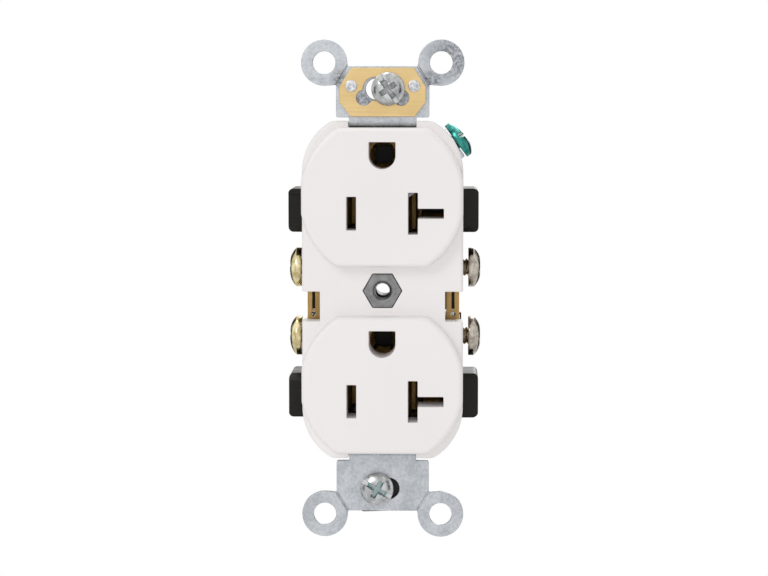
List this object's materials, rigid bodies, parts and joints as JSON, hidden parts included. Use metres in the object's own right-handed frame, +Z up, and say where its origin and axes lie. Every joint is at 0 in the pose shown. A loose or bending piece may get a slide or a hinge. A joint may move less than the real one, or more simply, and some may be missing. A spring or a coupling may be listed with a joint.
{
  "type": "duplex receptacle",
  "caption": "Side-wired duplex wall receptacle with T-slot outlets on a steel mounting strap with break-off ears.",
  "frame": {"origin": "on the axis of the centre post, at the rear face of the strap's end plates", "axes": "+Z up, towards the ground clip; -Y out of the wall, the way the outlet faces point; +X to the right seen from the front"},
  "size_m": [0.0404, 0.0265, 0.1038],
  "materials": {
    "cover": "satin moulded white plastic",
    "housing": "black moulded plastic",
    "strap": "zinc-plated rolled steel",
    "clip": "brushed brass sheet",
    "contact": "plain brass strip",
    "post": "dull plated steel",
    "steel_fastener": "bright zinc-plated steel",
    "retainer": "black vulcanised fibre",
    "brass_screw": "bright brass plated",
    "nickel_screw": "nickel plated",
    "green_screw": "green dyed plating"
  },
  "bodies": {
    "root": {"face_cover": "cover", "rear_housing": "housing", "mounting_strap": "strap", "ground_clip": "clip", "ground_clip_rivet_left": "steel_fastener", "ground_clip_rivet_right": "steel_fastener", "hot_bus": "contact", "neutral_bus": "contact", "ground_contact_upper": "contact", "ground_contact_lower": "contact", "ground_contact_rivets_upper": "steel_fastener", "ground_contact_rivets_lower": "steel_fastener", "centre_post": "post", "mounting_screw_upper": "steel_fastener", "mounting_screw_lower": "steel_fastener", "screw_retainer_upper": "retainer", "screw_retainer_lower": "retainer", "hot_terminal_screw_upper": "brass_screw", "hot_terminal_screw_lower": "brass_screw", "neutral_terminal_screw_upper": "nickel_screw", "neutral_terminal_screw_lower": "nickel_screw", "ground_screw": "green_screw", "assembly_screw_1": "steel_fastener", "assembly_screw_2": "steel_fastener", "assembly_screw_3": "steel_fastener", "assembly_screw_4": "steel_fastener"}
  },
  "joints": []
}
